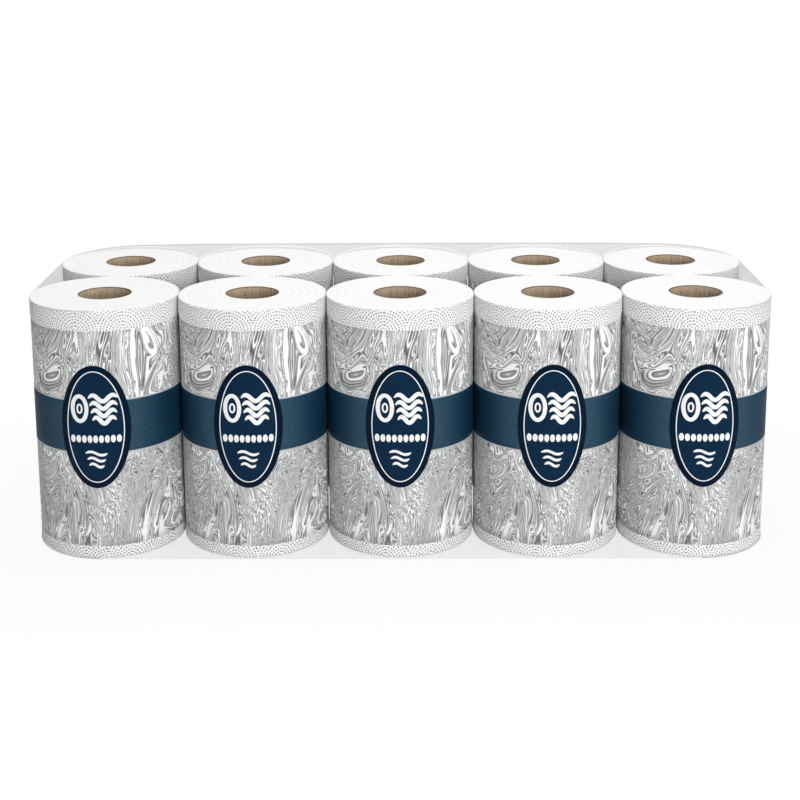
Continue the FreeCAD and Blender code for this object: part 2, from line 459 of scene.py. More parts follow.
raised_v = nodes.math("ADD", v, half_row)
arc_wave = fan_wave(nodes.math("ADD", u, half_row), v, given["Arc"])
bead_wave = fan_wave(nodes.math("SUBTRACT", u, half_row), raised_v, given["Bead"])
crossing = nodes.smooth(nodes.math("ADD", arc_wave, bead_wave), *CROSSING_RANGE)
press_noise = nodes.noise(given["Vector"], PRESS_SCALE, detail=1.0)
press = nodes.math("MULTIPLY_ADD", press_noise, PRESS_GAIN, PRESS_LEAST, clamp=True)
nodes.feed(results["Hollow"], nodes.times(crossing, press))
print("embossing group:", len(embossed_fans.nodes), "nodes")

# %% [markdown]
# A roll of wound paper could be a plain ring with a picture of its turns. Here it is turned
# round the roll's axis from one closed outline: over the upper end, down the side, back
# under the lower end and up the bore. The bare ends of the roll swell a little past the
# sleeve, which holds the middle tight, and the lower edge is rounder, because it carries
# the roll's weight.

# %% The outline of the wound paper
SWELL = 0.42 * MM
SWELL_REACH = 3 * MM
UPPER_ROUND = 0.7 * MM
LOWER_ROUND = 2.6 * MM
BORE_GAP = 0.1 * MM
UNDER_SLEEVE = 0.5 * MM
RIM_FADE = 1.2 * MM
END_SAMPLES = 60
BORE_SAMPLES = 8


def paper_outline():
    """Radius and height of the outline, and how far the turns show at each point of it.

    A rounded edge is a quarter circle. The side draws in by the swell over SWELL_REACH. The
    turns show on the two ends, in full from RIM_FADE inside each edge: -1 above, +1 below.
    """
    bore = CORE_RADIUS + BORE_GAP
    outer = PAPER_RADIUS + SWELL
    quarter = np.linspace(0, math.pi / 2, 6)
    upper_end = np.linspace(bore, outer - UPPER_ROUND, END_SAMPLES)
    lower_end = np.linspace(outer - LOWER_ROUND, bore, END_SAMPLES)
    upper_strip = np.linspace(TOP - UPPER_ROUND, sleeve_high.z - UNDER_SLEEVE, 9)[1:]
    lower_strip = np.linspace(sleeve_low.z + UNDER_SLEEVE, BASE + LOWER_ROUND, 7)[:-1]
    middle = np.linspace(upper_strip[-1], lower_strip[0], 6)[1:-1]
    side = np.concatenate([upper_strip, middle, lower_strip])
    beyond = np.maximum(sleeve_low.z - side, side - sleeve_high.z)
    waist = SWELL * (1 - np.clip(beyond / SWELL_REACH, 0, 1))
    radius = np.concatenate([
        upper_end,
        outer - UPPER_ROUND + UPPER_ROUND * np.sin(quarter[1:]),
        outer - waist,
        outer - LOWER_ROUND + LOWER_ROUND * np.cos(quarter[:-1]),
        lower_end,
        np.full(BORE_SAMPLES, bore),
    ])
    height = np.concatenate([
        np.full(END_SAMPLES, TOP),
        TOP - UPPER_ROUND + UPPER_ROUND * np.cos(quarter[1:]),
        side,
        BASE + LOWER_ROUND - LOWER_ROUND * np.sin(quarter[:-1]),
        np.full(END_SAMPLES, BASE),
        np.linspace(BASE, TOP, BORE_SAMPLES + 2)[1:-1],
    ])
    facing = np.zeros(len(radius))
    facing[:END_SAMPLES] = -1
    facing[-BORE_SAMPLES - END_SAMPLES:-BORE_SAMPLES] = 1
    rim_distance = np.minimum(radius - bore, outer - UPPER_ROUND - radius)
    facing *= np.clip(rim_distance / RIM_FADE, 0, 1)
    return radius, height, facing


print("outline:", len(paper_outline()[0]), "points")

# %% [markdown]
# A roll's turns are one long spiral, and its ends show it. A turn is a tenth of a millimetre
# thick, far too fine to draw, but the ends are never quite even, and a few turns stand back
# from the rest. So the ends get a shallow spiral groove, which steps outwards by one spacing
# in each turn round, and a finer ripple of the same form between.

# %% Turn the outline round each roll's axis
TURN_SPACING = 5.8 * MM
TURN_DEPTH = 0.3 * MM
RIPPLE_SPACING = 1.45 * MM
RIPPLE_DEPTH = 0.05 * MM
PAPER_COLUMNS = 144


def wound_paper(number):
    """One roll's paper: the outline at each angle, with its ends lowered along the spirals.

    A spiral's phase is the radius in spacings less the angle in turns, plus a start of the
    roll's own. The groove is the top third of a cosine of it, and the ripple is a whole one.
    """
    draw = np.random.default_rng(int(number))
    start = draw.uniform(0, 1)
    radius, height, facing = paper_outline()
    angle = np.linspace(-math.pi, math.pi, PAPER_COLUMNS, endpoint=False)[None, :]
    turns = angle / math.tau + start
    main = (radius[:, None] - CORE_RADIUS) / TURN_SPACING - turns
    fine = (radius[:, None] - CORE_RADIUS) / RIPPLE_SPACING - turns
    groove = TURN_DEPTH * np.clip(np.cos(math.tau * main) * 3 - 2, 0, 1)
    ripple = RIPPLE_DEPTH * (1 + np.cos(math.tau * fine))
    lifted = height[:, None] + facing[:, None] * (groove + ripple)
    points = round_axis(AXES[number], angle, radius[:, None], lifted)
    columns = np.linspace(0, math.tau, PAPER_COLUMNS + 1)[None, :]
    rows = np.append(radius, radius[0])[:, None]
    heights = np.append(height, height[0])[:, None]
    side_map = np.stack(np.broadcast_arrays(columns * PAPER_RADIUS, heights), -1)
    turn_map = np.stack(np.broadcast_arrays(columns / math.tau + start, rows), -1)
    paper = surface(f"wound_paper_{number}", points, maps={"side": side_map, "turns": turn_map})
    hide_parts(f"tissue_roll_{number}")
    return paper


papers = [wound_paper(number) for number in ROLL_NUMBERS]
print("wound paper:", len(papers), "pieces of", len(papers[0].data.polygons), "quads")

# %% [markdown]
# Tissue is nearly white and scatters light softly, so it is rough, with a little sheen. One
# material serves side and ends, and the direction of the surface tells them apart: the side
# is embossed, and the hollows of the dots get painted shade, darker and warmer, while the
# ends are cut paper with faint fine rings. All of it is fuzzy with fibres.

# %% Tissue finish
PAPER_WHITE = (0.94, 0.93, 0.932, 1)
# The hollows' colour is painted shade, darker and warmer than the paper.
HOLLOW_SHADE = (0.2, 0.175, 0.18, 1)
RING_TINT = (0.9, 0.89, 0.885, 1)
RING_FINENESS = 0.35 * MM
RING_RANGE = (0.45, 0.7)
RING_RELIEF = 0.6
FIBRE_SCALE = 900.0
FIBRE_RELIEF = 0.25
tissue, nodes, shader = new_material("embossed tissue", 0.85, Specular_IOR_Level=0.2)
shader.inputs["Sheen Weight"].default_value = 0.25
shader.inputs["Sheen Roughness"].default_value = 0.6
emboss = nodes.place(embossed_fans, Vector=nodes.uv_map("side"))["Hollow"]
facing_up = nodes.split(nodes.add("ShaderNodeNewGeometry").outputs["Normal"])[2]
on_end = nodes.smooth(nodes.math("ABSOLUTE", facing_up), 0.6, 0.9)
turn, radius, _ = nodes.split(nodes.uv_map("turns"))
ring_place = nodes.join(nodes.math("DIVIDE", radius, RING_FINENESS), turn)
rings = nodes.noise(ring_place, 1.0, detail=3.0, roughness=0.6)
fibre = nodes.noise(nodes.object_place(), FIBRE_SCALE, detail=3.0, roughness=0.6)
hollow = nodes.times(emboss, nodes.math("SUBTRACT", 1.0, on_end))
# Painted shade: the dots' hollows are coloured darker, as shade falls in them.
side_color = nodes.mix(hollow, PAPER_WHITE, HOLLOW_SHADE)
ring_share = nodes.times(nodes.smooth(rings, *RING_RANGE), on_end)
nodes.feed(shader.inputs["Base Color"], nodes.mix(ring_share, side_color, RING_TINT))
relief = nodes.math("SUBTRACT", nodes.times(rings, on_end, RING_RELIEF), hollow)
relief = nodes.math("MULTIPLY_ADD", fibre, FIBRE_RELIEF, relief)
add_bump(nodes, shader, relief, 0.3 * MM, 0.7)
finish_with(papers, tissue, nodes)

# %% [markdown]
# A core is board wound in a spiral, so a shallow step climbs its inner wall where one strip
# butts on the next. A strip could be modelled and wound, but only that step would show, so
# it is worked into the wall. The tube is one closed outline again: rim, inner wall, rim and
# outer wall.

# %% Cardboard cores
CORE_COLUMNS = 96
CORE_ROWS = 30
CORE_WALL = 0.8 * MM
CORE_EDGE = 0.2 * MM
SEAM_TURNS = 3
SEAM_STEP = 0.25 * MM


def card_core(number):
    """A tube whose inner wall narrows along a helix, and steps back once in each turn.

    The climb is the height in seams less the angle in turns, and its fraction is the step.
    """
    inner = CORE_RADIUS - CORE_WALL
    heights = np.linspace(TOP - CORE_EDGE, BASE + CORE_EDGE, CORE_ROWS)
    radius = np.concatenate([
        [CORE_RADIUS - CORE_EDGE, inner + CORE_EDGE],
        np.full(CORE_ROWS, inner),
        [inner + CORE_EDGE, CORE_RADIUS - CORE_EDGE],
        [CORE_RADIUS, CORE_RADIUS],
    ])
    outer_heights = [BASE + CORE_EDGE, TOP - CORE_EDGE]
    height = np.concatenate([[TOP, TOP], heights, [BASE, BASE], outer_heights])
    is_inner = (radius == inner)[:, None]
    angle = np.linspace(0, math.tau, CORE_COLUMNS, endpoint=False)[None, :]
    climb = (height[:, None] - BASE) / HEIGHT * SEAM_TURNS - angle / math.tau
    step = SEAM_STEP * (climb - np.floor(climb))
    points = round_axis(AXES[number], angle, radius[:, None] - step * is_inner, height[:, None])
    columns = np.linspace(0, math.tau, CORE_COLUMNS + 1)[None, :]
    rows = np.append(height, height[0])[:, None]
    wall_map = np.stack(np.broadcast_arrays(columns * CORE_RADIUS, rows), -1)
    core = surface(f"card_core_{number}", points, maps={"wall": wall_map})
    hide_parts(f"core_tube_{number}")
    return core


cores = [card_core(number) for number in ROLL_NUMBERS]
print("cores:", len(cores), "pieces of", len(cores[0].data.polygons), "quads")

# %% [markdown]
# Grey-brown board is streaked the long way of its fibres and speckled with darker ones. The
# streaks are one noise, squeezed ten times more round the tube than along it, so they follow
# the map of the wall. The cut ends are open fibre, which looks much darker.

# %% Cardboard finish
CARD_DARK = (0.25, 0.185, 0.12, 1)
CARD_LIGHT = (0.6, 0.475, 0.335, 1)
CARD_CUT = (0.14, 0.1, 0.065, 1)
STREAKS_ROUND = 900.0
STREAKS_ALONG = 90.0
SPECK_SCALE = 1400.0
SPECK_SHARE = 0.35
cardboard, nodes, shader = new_material("cardboard", 0.9, Specular_IOR_Level=0.15)
u, v, _ = nodes.split(nodes.uv_map("wall"))
streak_place = nodes.join(nodes.times(u, STREAKS_ROUND), nodes.times(v, STREAKS_ALONG))
streaks = nodes.noise(streak_place, 1.0, detail=4.0, roughness=0.65)
specks = nodes.noise(nodes.object_place(), SPECK_SCALE, detail=2.0)
shade = nodes.math("MULTIPLY_ADD", specks, SPECK_SHARE, nodes.times(streaks, 1 - SPECK_SHARE))
wall_color = nodes.mix(nodes.smooth(shade, 0.3, 0.7), CARD_DARK, CARD_LIGHT)
from_waist = nodes.math("ABSOLUTE", nodes.math("SUBTRACT", v, BASE + HEIGHT / 2))
from_end = nodes.math("SUBTRACT", HEIGHT / 2, from_waist)
cut_end = nodes.smooth(from_end, 0.9 * MM, 0.3 * MM)
nodes.feed(shader.inputs["Base Color"], nodes.mix(cut_end, wall_color, CARD_CUT))
add_bump(nodes, shader, shade, 0.15 * MM)
finish_with(cores, cardboard, nodes)

# %% [markdown]
# The sleeve is a thin printed tube. A plain cylinder would catch the light in one straight
# band, but real paper takes up the unevenness of the soft roll below it. So its wall ripples
# by a fraction of a millimetre, as a sum of waves that lean a little as they go up.

# %% Printed sleeves
SLEEVE_COLUMNS = 180
SLEEVE_ROWS = 26
SLEEVE_WALL = 0.1 * MM
SLEEVE_RIPPLE = 0.05 * MM
SLEEVE_WAVES = ((7, 5), (13, -8), (29, 3))


def printed_sleeve(number):
    """A tube with an outer and an inner wall. Its radius varies by the mean of three sines.

    Each wave is a sine of a whole number of turns of the angle, plus a lean times the height.
    """
    draw = np.random.default_rng(100 + int(number))
    phases = draw.uniform(0, math.tau, 3)
    angle = np.linspace(-math.pi, math.pi, SLEEVE_COLUMNS, endpoint=False)[None, :]
    height = np.linspace(sleeve_low.z, sleeve_high.z, SLEEVE_ROWS)[:, None]
    along = (height - sleeve_low.z) / (sleeve_high.z - sleeve_low.z)
    ripple = sum(
        np.sin(turns * angle + lean * along + phase)
        for (turns, lean), phase in zip(SLEEVE_WAVES, phases)
    )
    radius = SLEEVE_RADIUS - SLEEVE_RIPPLE + SLEEVE_RIPPLE / 3 * ripple
    outer = round_axis(AXES[number], angle, radius, height)
    inner = round_axis(AXES[number], angle, radius - SLEEVE_WALL, height)
    points = np.concatenate([outer, inner[::-1]])
    columns = np.linspace(0, math.tau, SLEEVE_COLUMNS + 1)[None, :]
    heights = np.concatenate([height, height[::-1], height[:1]])
    print_map = np.stack(np.broadcast_arrays(columns * SLEEVE_RADIUS, heights), -1)
    sleeve = surface(f"marbled_sleeve_{number}", points, maps={"print": print_map})
    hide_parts(f"printed_sleeve_{number}")
    return sleeve


sleeves = [printed_sleeve(number) for number in ROLL_NUMBERS]
print("sleeves:", len(sleeves), "pieces of", len(sleeves[0].data.polygons), "quads")

# %% [markdown]
# The print on the sleeve is satin. Its map is the sleeve laid flat, in metres, so the veins
# keep their size. The ink is worn to the bare paper in tiny specks, and the creases of the
# paper break up its shine.

# %% Marbled finish
SLEEVE_WHITE = (0.93, 0.93, 0.93, 1)
WORN_RANGE = (0.5, 0.75)
WORN_SHARE = 0.12
marbled, nodes, shader = new_material("marbled print", 0.5, Specular_IOR_Level=0.12)
marble = nodes.place(marbling, Vector=nodes.uv_map("print"))
stock = nodes.place(printed_paper, Vector=nodes.object_place())
worn = nodes.times(nodes.smooth(stock["Ink"], *WORN_RANGE), WORN_SHARE)
nodes.feed(shader.inputs["Base Color"], nodes.mix(worn, marble["Color"], SLEEVE_WHITE))
add_bump(nodes, shader, stock["Height"], 0.2 * MM, 0.5)
finish_with(sleeves, marbled, nodes)

# %% [markdown]
# Belt and medallion are one printed field. It could be cut out of the sleeve with a boolean,
# but its edge is simple enough for a grid. Seen flat, it is a height above and below the
# middle line: the belt's half height all the way round, and more where the oval rises past
# it. So the rows of the grid stretch with the angle, and its columns crowd where the oval's
# edge is steep.

# %% Belt and medallion
LABEL_WALL = 0.1 * MM
LABEL_MIDDLE = (label_low.z + label_high.z) / 2
OVAL_HALF_HEIGHT = (label_high.z - label_low.z) / 2
OVAL_HALF_WIDTH = 25.25 * MM
BELT_HALF_HEIGHT = 20.5 * MM
LABEL_ROWS = 9
OFF_OVAL = 1.0


def label_angles():
    """Angles round the roll: a sine crowds them at the oval's edges, and behind they are even."""
    oval_edge = math.asin(OVAL_HALF_WIDTH / LABEL_RADIUS)
    swing = np.linspace(-math.pi / 2, math.pi / 2, 97)
    across = oval_edge * np.sin(swing)
    behind = np.linspace(oval_edge, math.tau - oval_edge, 90)[1:-1]
    return np.concatenate([across, behind])


def label_half_height(angle):
    """The label's reach above its middle line: the oval's, but never less than the belt's."""
    side = np.sin(angle) * LABEL_RADIUS / OVAL_HALF_WIDTH
    in_front = np.cos(angle) > 0
    rise = np.sqrt(np.clip(1 - side**2, 0, 1)) * OVAL_HALF_HEIGHT * in_front
    return np.maximum(rise, BELT_HALF_HEIGHT)


def belt_label(number):
    """A band with two walls. Each row lies at one share of the reach, from -1 to 1.

    Its map is the label seen from the front, in metres from the medallion's middle. Behind
    the roll the map stays off the oval, so that the oval is printed only once.
    """
    angle = label_angles()[None, :]
    reach = label_half_height(angle)
    rows = np.linspace(-1, 1, LABEL_ROWS)[:, None]
    height = LABEL_MIDDLE + rows * reach
    outer = round_axis(AXES[number], angle, LABEL_RADIUS, height)
    inner = round_axis(AXES[number], angle, LABEL_RADIUS - LABEL_WALL, height)
    points = np.concatenate([outer, inner[::-1]])
    angle = np.append(angle, angle[:, :1] + math.tau, axis=1)
    reach = np.append(reach, reach[:, :1], axis=1)
    rows = np.concatenate([rows, rows[::-1], rows[:1]])
    flat_x = np.broadcast_to(np.sin(angle) * LABEL_RADIUS, (len(rows), angle.shape[1]))
    across = np.where(np.cos(angle) > 0, flat_x, OFF_OVAL)
    flat_map = np.stack(np.broadcast_arrays(across, rows * reach), -1)
    label = surface(f"belt_and_medallion_{number}", points, maps={"flat": flat_map})
    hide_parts(f"belt_label_{number}")
    return label


labels = [belt_label(number) for number in ROLL_NUMBERS]
print("labels:", len(labels), "pieces of", len(labels[0].data.polygons), "quads")

# %% [markdown]
# The print is four blues and a pale line. They could be separate pieces of paper, but they
# are one layer of ink, so the material draws them: the belt, darker at its sides than in
# front by painted shade, its two edge lines, the dark rim of the oval, and the panel inside
# it. An oval's edge is where the length of a point, measured in half widths and half
# heights, is 1.

# %% Dark blue finish
RING_INSET = 4.3 * MM
RING_WIDTH = 0.7 * MM
LINE_WIDTH = 1.0 * MM
# The lit blue is the belt's front, and the deeper blue is painted shade at its sides and behind;
# the deeper blue also colours the ink's darker pools.
BELT_LIT_BLUE = (0.032, 0.074, 0.114, 1)
BELT_SHADE_AND_POOL_BLUE = (0.006, 0.032, 0.066, 1)
OVAL_BLUE = (0.003, 0.02, 0.05, 1)
RIM_BLUE = (0.0008, 0.009, 0.025, 1)
LINE_GREY = (0.56, 0.59, 0.61, 1)
OVAL_EDGE = (1.004, 0.996)
POOLED_RANGE = (0.45, 0.7)
POOLED_SHARE = 0.35
belt_print_and_shade, nodes, shader = new_material("dark blue print and painted shade", 0.5, Specular_IOR_Level=0.04)
x, y, _ = nodes.split(nodes.uv_map("flat"))


def inside_oval(inset):
    """1 inside an oval that is smaller than the medallion by the inset, and 0 outside."""
    across = nodes.math("DIVIDE", x, OVAL_HALF_WIDTH - inset)
    up = nodes.math("DIVIDE", y, OVAL_HALF_HEIGHT - inset)
    return nodes.smooth(nodes.vector("LENGTH", nodes.join(across, up)), *OVAL_EDGE)


edge_distance = nodes.math("SUBTRACT", BELT_HALF_HEIGHT, nodes.math("ABSOLUTE", y))
edge_line = nodes.smooth(edge_distance, LINE_WIDTH * 1.15, LINE_WIDTH * 0.85)
# Painted shade: the belt darkens from its lit front to its sides, as light falls off round the
# roll.
painted_side_shade = nodes.smooth(nodes.math("ABSOLUTE", x), 24 * MM, 50 * MM)
ink = nodes.mix(painted_side_shade, BELT_LIT_BLUE, BELT_SHADE_AND_POOL_BLUE)
stock = nodes.place(printed_paper, Vector=nodes.object_place(), Crease=200.0, Speck=420.0)
pooled = nodes.times(nodes.smooth(stock["Ink"], *POOLED_RANGE), POOLED_SHARE)
ink = nodes.mix(pooled, ink, BELT_SHADE_AND_POOL_BLUE)
ink = nodes.mix(edge_line, ink, LINE_GREY)
ink = nodes.mix(inside_oval(0.0), ink, RIM_BLUE)
ink = nodes.mix(inside_oval(RING_INSET + RING_WIDTH / 2), ink, OVAL_BLUE)
nodes.feed(shader.inputs["Base Color"], ink)
add_bump(nodes, shader, stock["Height"], 0.2 * MM, 0.4)
finish_with(labels, belt_print_and_shade, nodes)

# %% [markdown]
# The medallion carries a plain white mark. The material could draw it too, but a brush
# stroke is a path with a width, and that is easier as a mesh: two rows of points, one on
# each side of the path, along its normal. The same two rows again, sunk into the label,
# close it underneath. A stroke that tapers at its ends looks drawn rather than cut.

# %% Strokes


def ribbon(x, y, width, closed=False):
    """Corner points of a stroke along a flat curve, as a loop of four rows. Width may vary.

    Each side is the curve's point plus or minus half the width along the curve's normal.
    """
    step_x = np.gradient(x)
    step_y = np.gradient(y)
    if closed:
        step_x = np.roll(x, -1) - np.roll(x, 1)
        step_y = np.roll(y, -1) - np.roll(y, 1)
    length = np.hypot(step_x, step_y)
    side_x = -step_y / length * width / 2
    side_y = step_x / length * width / 2
    left = np.stack([x + side_x, y + side_y], -1)
    right = np.stack([x - side_x, y - side_y], -1)
    return np.stack([left, right, right, left]), closed


def taper(count, ends=0.15, thinnest=0.08):
    """Full in the middle and thin at both ends: a power of the distance to the nearer end."""
    t = np.linspace(0, 1, count)
    return thinnest + (1 - thinnest) * np.clip(np.minimum(t, 1 - t) / ends, 0, 1) ** 0.6


def wave(x_start, x_end, y_middle, rise, waves, width, count=72):
    """A sine stroke that is thin at its ends."""
    t = np.linspace(0, 1, count)
    x = x_start + (x_end - x_start) * t
    y = y_middle + rise * np.sin(math.tau * waves * t)
    return ribbon(x, y, width * taper(count))


def oval_ring(half_x, half_y, width, x_middle=0.0, y_middle=0.0, count=144):
    """A closed oval stroke: a cosine across and a sine up."""
    t = np.linspace(0, math.tau, count, endpoint=False)
    return ribbon(x_middle + half_x * np.cos(t), y_middle + half_y * np.sin(t), width, True)


print("a wave has", wave(0, 1, 0, 0.1, 1, 0.1)[0].shape[1], "points along it")

# %% [markdown]
# The mark is a roll seen end on whose sheet runs off in waves, a rule of beads below it, and
# three short waves for the plies, all inside a thin oval line. Each step down shortens the
# waves, so that they stay clear of the oval.

# %% Lay out the mark
COIL_PLACE = (-11.0 * MM, 14 * MM)
SHEET_WAVES = 4
BEADS_EACH_SIDE = 4
PLY_WAVES = 3


def mark_strokes():
    """All strokes of the mark, in metres, round the middle of the medallion."""
    half_x = OVAL_HALF_WIDTH - RING_INSET - RING_WIDTH / 2
    half_y = OVAL_HALF_HEIGHT - RING_INSET - RING_WIDTH / 2
    yield oval_ring(half_x, half_y, RING_WIDTH)
    yield oval_ring(5.2 * MM, 9.4 * MM, 3.0 * MM, *COIL_PLACE, count=72)
    yield oval_ring(1.7 * MM, 3.2 * MM, 1.3 * MM, *COIL_PLACE, count=40)
    for k in range(SHEET_WAVES):
        start_x = (-4.4 + 0.9 * k) * MM
        end_x = (17.0 - 0.5 * k) * MM
        yield wave(start_x, end_x, (22.0 - 5.6 * k) * MM, 2.3 * MM, 1.5, 3.2 * MM)
    for k in range(-BEADS_EACH_SIDE, BEADS_EACH_SIDE + 1):
        yield oval_ring(0.9 * MM, 2.1 * MM, 1.7 * MM, k * 4.2 * MM, -9 * MM, 16)
    for k in range(PLY_WAVES):
        half = (8.2 - 1.3 * k) * MM
        yield wave(-half, half, (-20 - 4.6 * k) * MM, 1.3 * MM, 1, 2.0 * MM, 40)


print("strokes in the mark:", len(list(mark_strokes())))

# %% [markdown]
# Now the flat strokes are laid on the round of the label. A point's x is the sine of its
# angle, so that from the front the mark looks as it was drawn. The strokes stand up by a
# hair and sink in a little more, so they never share a surface with the label.

# %% The white mark
MARK_LIFT = 0.03 * MM
MARK_SINK = 0.05 * MM


def stroke_faces(stroke, closed):
    """The quads of a stroke's tube, with an end cap each where it is open, facing outwards."""
    rows, columns = stroke.shape[:2]
    corner_rows, corner_columns = grid_faces(rows, columns, True, closed)
    quads = (corner_rows % rows) * columns + corner_columns % columns
    if not closed:
        start = np.arange(4) * columns
        quads = np.concatenate([quads, start[None, ::-1], start[None, :] + columns - 1])
    flat = stroke.reshape(-1, 3)
    return quads[:, ::-1] if signed_volume(flat - flat.mean(0), quads) < 0 else quads


def white_mark(number):
    """The strokes on the round of the label: the angle is the arcsine of x over the radius."""
    points = []
    faces = []
    total = 0
    depth = np.array([MARK_LIFT, MARK_LIFT, -MARK_SINK, -MARK_SINK])[:, None]
    for flat, closed in mark_strokes():
        angle = np.arcsin(flat[..., 0] / LABEL_RADIUS)
        height = LABEL_MIDDLE + flat[..., 1]
        stroke = round_axis(AXES[number], angle, LABEL_RADIUS + depth, height)
        faces.append(stroke_faces(stroke, closed) + total)
        points.append(stroke.reshape(-1, 3))
        total += len(points[-1])
    return mesh_object(f"medallion_mark_{number}", np.concatenate(points), np.concatenate(faces))


marks = [white_mark(number) for number in ROLL_NUMBERS]
for mark in marks:
    mark.data.shade_flat()
print("marks:", len(marks), "of", len(marks[0].data.polygons), "faces")

# %% [markdown]
# White ink on dark paper is never quite even: where it lies thin, the dark shows through and
# greys it a little. The printed paper group gives that unevenness.

# %% White finish
THIN_WHITE = (0.8, 0.81, 0.82, 1)
FULL_WHITE = (0.93, 0.93, 0.93, 1)
white_ink, nodes, shader = new_material("white print", 0.5, Specular_IOR_Level=0.12)
stock = nodes.place(printed_paper, Vector=nodes.object_place(), Speck=500.0)
nodes.feed(shader.inputs["Base Color"], nodes.mix(stock["Ink"], THIN_WHITE, FULL_WHITE))
add_bump(nodes, shader, stock["Height"], 0.2 * MM, 0.3)
finish_with(marks, white_ink, nodes)

# %% [markdown]
# The film is shrunk tight round all the rolls, so from above it is a rectangle with corners
# as round as a roll. A cloth simulation could shrink it, but film that tight has hardly any
# folds. So its plan is worked out: four quarter circles and the straight runs between them.

# %% The film's plan
LAST_AXIS = AXES["05"].x
FILM_RADIUS = film_high.x - LAST_AXIS
FILM_EDGE = 1.6 * MM
RUN_STEP = 3.5 * MM
CORNER_POINTS = 30


def film_plan():
    """The outline from above, as points and outward normals, anticlockwise from the front."""
    half_x = film_high.x - FILM_RADIUS
    half_y = film_high.y - FILM_RADIUS
    corners = [(half_x, -half_y), (half_x, half_y), (-half_x, half_y), (-half_x, -half_y)]
    places = []
    normals = []
    for k, (x, y) in enumerate(corners):
        turn = np.linspace(-math.pi / 2, 0, CORNER_POINTS) + k * math.pi / 2
        normal = np.stack([np.cos(turn), np.sin(turn)], -1)
        arc = np.array([x, y]) + FILM_RADIUS * normal
        next_x, next_y = corners[(k + 1) % 4]
        side = np.linalg.norm([next_x - x, next_y - y])
        count = int(side / RUN_STEP)
        run = np.linspace(0, 1, count + 1)[1:-1, None]
        end = np.array([next_x, next_y]) + FILM_RADIUS * normal[-1]
        places += [arc, arc[-1] * (1 - run) + end * run]
        normals += [normal, np.repeat(normal[-1:], len(run), 0)]
    return np.concatenate(places), np.concatenate(normals)


print("film's plan:", len(film_plan()[0]), "points")

# %% [markdown]
# The film's wall is that plan carried up, with a small round edge at both ends, and each end
# face is the plan shrunk to its middle in rings. Above, the film isn't quite flat: it tents
# over the rolls towards the back, where its seam would pull it up.

# %% Clear film
TENT = 2.6 * MM
TENT_STEEPNESS = 12
WALL_ROWS = 60
CAP_RINGS = 26


def tent(x, y):
    """How far the upper film stands off the rolls: most at the back, none at the front."""
    back = np.clip((y - film_low.y) / (film_high.y - film_low.y), 0, 1)
    along = np.clip(1 - (x / film_high.x) ** 4, 0, 1)
    return TENT * along * back**1.5


def clear_film():
    """A closed skin from the middle of the base, up the wall, to the middle of the top.

    An edge is a quarter circle. The tent's lift is scaled by a high power of the height, so
    that it is felt only at the top.
    """
    plan, normal = film_plan()
    quarter = np.linspace(0, math.pi / 2, 5)
    inset = FILM_EDGE * (1 - np.sin(quarter))
    rise = FILM_EDGE * (1 - np.cos(quarter))
    shrink = np.linspace(0, 1, CAP_RINGS + 1)[1:-1] ** 0.8
    rim = plan - normal * FILM_EDGE
    lower_cap = rim[None] * (1 - shrink[::-1, None, None])
    upper_cap = rim[None] * (1 - shrink[:, None, None])
    edge = plan[None] - normal[None] * inset[:, None, None]
    wall_heights = np.linspace(film_low.z + FILM_EDGE, film_high.z - FILM_EDGE, WALL_ROWS)[1:-1]
    wall = np.repeat(plan[None], len(wall_heights), 0)
    flat = np.concatenate([lower_cap, edge, wall, edge[::-1], upper_cap])
    height = np.concatenate([
        np.full(len(lower_cap), film_low.z),
        film_low.z + rise,
        wall_heights,
        film_high.z - rise[::-1],
        np.full(len(upper_cap), film_high.z),
    ])[:, None]
    share = np.clip((height - film_low.z) / (film_high.z - film_low.z), 0, 1)
    lifted = height + tent(flat[..., 0], flat[..., 1]) * share**TENT_STEEPNESS
    points = np.concatenate([flat, lifted[..., None]], -1)
    film = surface("wrap_film", points, close_rows=False)
    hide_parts("clear_film")
    return film


film = clear_film()
print("film:", len(film.data.polygons), "quads")

# %% [markdown]
# Film that clings to paper can't be seen, and film that spans a gap shows as a pale haze. A
# glass shader would bend and darken everything behind so thin a skin. So the film is a
# glossy surface that is nearly all see-through, and its alpha is the haze. Where the haze
# lies follows from the rolls: folding every roll onto one, with the pitch, gives the
# distance to the nearest axis, and a few masks say which part of the film a point is on.

# %% Film finish: where a point of the film lies
SPAN_EDGE = 4 * MM
STAND_OFF = 6 * MM
ON_CAP = (0.3, 0.8)
clear, nodes, shader = new_material("clear film", 0.12, Specular_IOR_Level=0.3)
shader.inputs["Base Color"].default_value = (0.5, 0.505, 0.51, 1)
x, y, z = nodes.split(nodes.object_place())
far_x = nodes.math("ABSOLUTE", x)
folded_x = nodes.math("WRAP", x, PITCH / 2, -PITCH / 2)
folded_y = nodes.math("SUBTRACT", nodes.math("ABSOLUTE", y), PITCH / 2)
from_axis = nodes.vector("LENGTH", nodes.join(folded_x, folded_y))
normal_z = nodes.split(nodes.add("ShaderNodeNewGeometry").outputs["Normal"])[2]
steep = nodes.math("ABSOLUTE", normal_z)
on_cap = nodes.smooth(steep, *ON_CAP)
off_cap = nodes.math("SUBTRACT", 1.0, on_cap)
below = nodes.math("LESS_THAN", z, film_high.z / 2)
beside = nodes.smooth(far_x, LAST_AXIS - SPAN_EDGE, LAST_AXIS + SPAN_EDGE)
behind = nodes.smooth(y, PITCH / 2 - SPAN_EDGE, PITCH / 2 + SPAN_EDGE)
before = nodes.times(nodes.smooth(y, SPAN_EDGE - PITCH / 2, -SPAN_EDGE - PITCH / 2), below)
print("film: the nodes so far", len(nodes.tree.nodes))

# %% [markdown]
# On the two end faces the haze is nil over each roll's round end and full between the rolls
# and the film's outline, with only a trace between the rows. Behind the back row, where the
# film stands off the paper, it starts a little before the roll's edge. At the base it starts
# where the roll's rounded lower edge lifts off the film.

